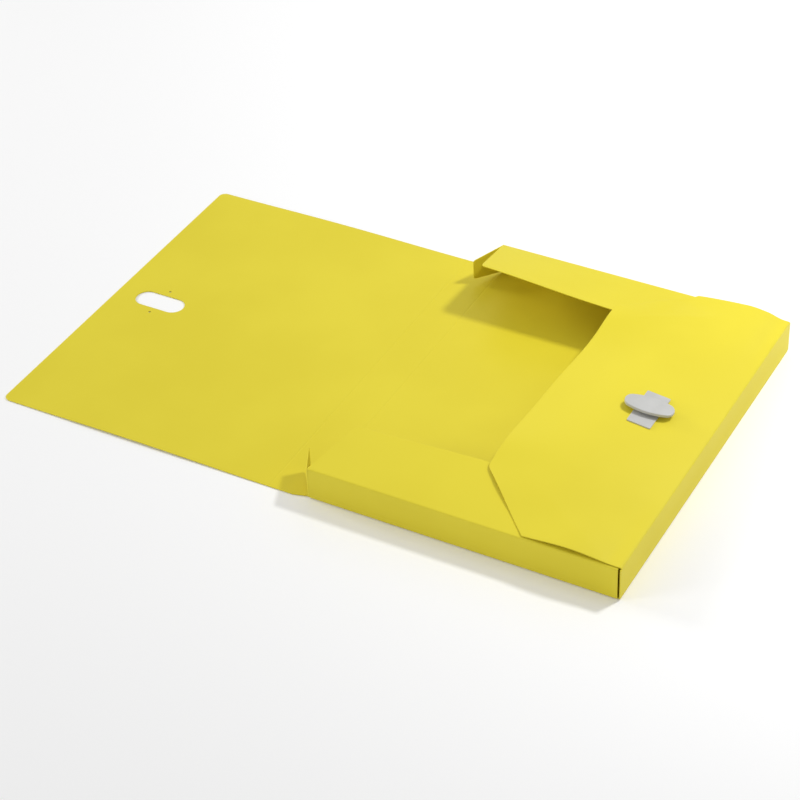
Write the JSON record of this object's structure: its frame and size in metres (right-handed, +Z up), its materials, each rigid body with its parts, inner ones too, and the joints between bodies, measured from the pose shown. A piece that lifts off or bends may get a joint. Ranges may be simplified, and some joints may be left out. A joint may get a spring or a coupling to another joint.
{
  "type": "box file",
  "caption": "Flat creased plastic box file lying open, with cover, spine strip, folded walls, inner flaps and an oval turning clip that locks through a slot in the cover.",
  "frame": {"origin": "on the table, under the middle of the open file", "axes": "+X from the cover's free edge across the spine to the fore edge of the box, +Y from the near to the far side wall, +Z up"},
  "size_m": [0.5296, 0.328, 0.0452],
  "materials": {
    "sheet": "fine satin grain on polypropylene sheet, slightly translucent",
    "clip": "smooth injection-moulded light grey plastic"
  },
  "bodies": {
    "base": {"base_panel": "sheet", "spine_crease": "sheet", "near_wall_crease": "sheet", "far_wall_crease": "sheet", "fore_wall_crease": "sheet"},
    "spine": {"spine_panel": "sheet", "cover_crease": "sheet"},
    "cover": {"cover_panel": "sheet"},
    "fore_wall": {"fore_wall": "sheet", "fore_flap_crease": "sheet"},
    "near_wall": {"near_wall": "sheet", "near_tab_crease": "sheet", "near_flap_crease": "sheet"},
    "far_wall": {"far_wall": "sheet", "far_tab_crease": "sheet", "far_flap_crease": "sheet"},
    "fore_flap": {"fore_flap": "sheet", "clip_bar": "clip", "clip_back_plate": "clip", "clip_pegs": "clip"},
    "near_flap": {"near_flap": "sheet"},
    "far_flap": {"far_flap": "sheet"},
    "near_tab": {"near_tab": "sheet"},
    "far_tab": {"far_tab": "sheet"},
    "clip_head": {"clip_head": "clip", "clip_washer": "clip"}
  },
  "joints": [
    {"name": "spine_fold", "type": "hinge", "parent": "base", "child": "spine", "pos_m": [0.0108, 0, 0.0004], "axis": [0, 1, 0], "range_deg": [0, 90]},
    {"name": "cover_fold", "type": "hinge", "parent": "spine", "child": "cover", "pos_m": [-0.0208, 0, 0.0004], "axis": [0, 1, 0], "range_deg": [0, 89]},
    {"name": "fore_wall_fold", "type": "hinge", "parent": "base", "child": "fore_wall", "pos_m": [0.2644, 0, 0.0004], "axis": [0, -1, 0], "range_deg": [-90, 0]},
    {"name": "near_wall_fold", "type": "hinge", "parent": "base", "child": "near_wall", "pos_m": [0.0124, -0.1616, 0.0004], "axis": [-1, 0, 0], "range_deg": [-90, 0]},
    {"name": "far_wall_fold", "type": "hinge", "parent": "base", "child": "far_wall", "pos_m": [0.0124, 0.1616, 0.0004], "axis": [1, 0, 0], "range_deg": [-90, 0]},
    {"name": "fore_flap_fold", "type": "hinge", "parent": "fore_wall", "child": "fore_flap", "pos_m": [0.2644, 0, 0.0288], "axis": [0, -1, 0], "range_deg": [-78.8, 4.5]},
    {"name": "near_flap_fold", "type": "hinge", "parent": "near_wall", "child": "near_flap", "pos_m": [0.0124, -0.1616, 0.0276], "axis": [-1, 0, 0], "range_deg": [-86, 4.92]},
    {"name": "far_flap_fold", "type": "hinge", "parent": "far_wall", "child": "far_flap", "pos_m": [0.0124, 0.1616, 0.0276], "axis": [1, 0, 0], "range_deg": [-82.2, 4.7]},
    {"name": "near_tab_fold", "type": "hinge", "parent": "near_wall", "child": "near_tab", "pos_m": [0.0124, -0.1616, 0.0004], "axis": [0, 0, -1], "range_deg": [0, 30]},
    {"name": "far_tab_fold", "type": "hinge", "parent": "far_wall", "child": "far_tab", "pos_m": [0.0124, 0.1616, 0.0004], "axis": [0, 0, 1], "range_deg": [0, 30]},
    {"name": "clip_turn", "type": "hinge", "parent": "fore_flap", "child": "clip_head", "pos_m": [0.2144, 0, 0.03722], "axis": [0.122, 0, 0.9925], "range_deg": [-7, 83]}
  ],
  "couplings": [
    {"joint": "near_wall_fold", "follows": "fore_wall_fold", "ratio": 1},
    {"joint": "far_wall_fold", "follows": "fore_wall_fold", "ratio": 1},
    {"joint": "near_flap_fold", "follows": "fore_flap_fold", "ratio": 1.0913},
    {"joint": "far_flap_fold", "follows": "fore_flap_fold", "ratio": 1.0431},
    {"joint": "near_tab_fold", "follows": "spine_fold", "ratio": 0.3333},
    {"joint": "far_tab_fold", "follows": "spine_fold", "ratio": 0.3333}
  ]
}
